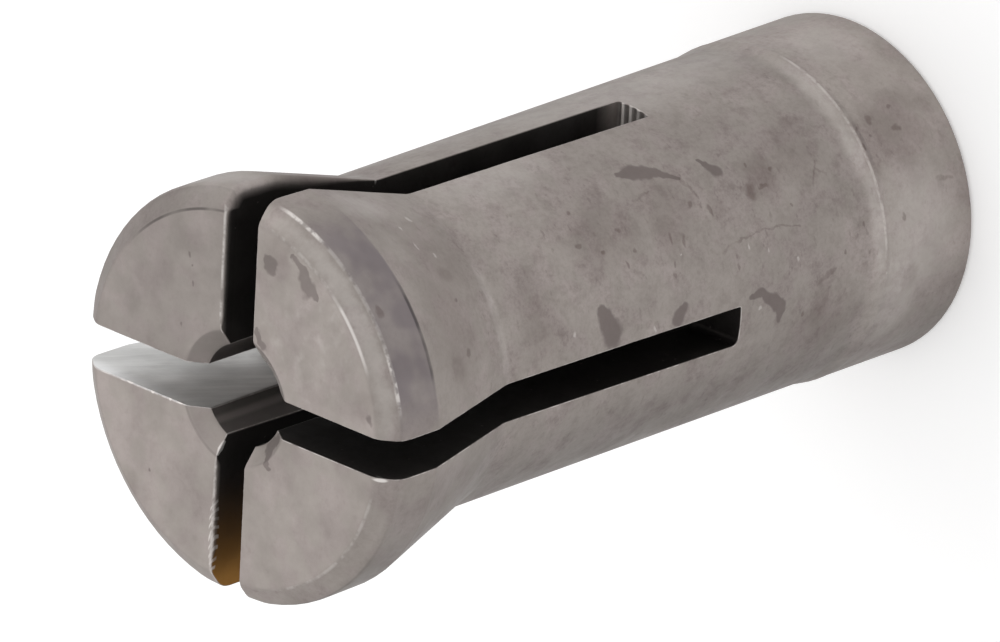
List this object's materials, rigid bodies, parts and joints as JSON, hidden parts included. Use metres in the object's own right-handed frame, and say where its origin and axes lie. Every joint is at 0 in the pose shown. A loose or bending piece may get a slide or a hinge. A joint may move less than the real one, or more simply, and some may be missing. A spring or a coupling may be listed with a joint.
{
  "type": "collet cone",
  "caption": "Slotted spring collet with a tapered head, a gripping bore for a small round shank, and a slightly larger guide land at the rear.",
  "frame": {"origin": "centre of the rear face, which the collet stands on", "axes": "+Z along the turning axis, from the rear face to the jaws; the two slots run along X and Y"},
  "size_m": [0.0124, 0.0124, 0.0253],
  "materials": {
    "steel": "satin ground and hardened steel, grey with a warm brown cast, lightly stained and scratched"
  },
  "bodies": {
    "root": {"collet_cone": "steel"}
  },
  "joints": []
}
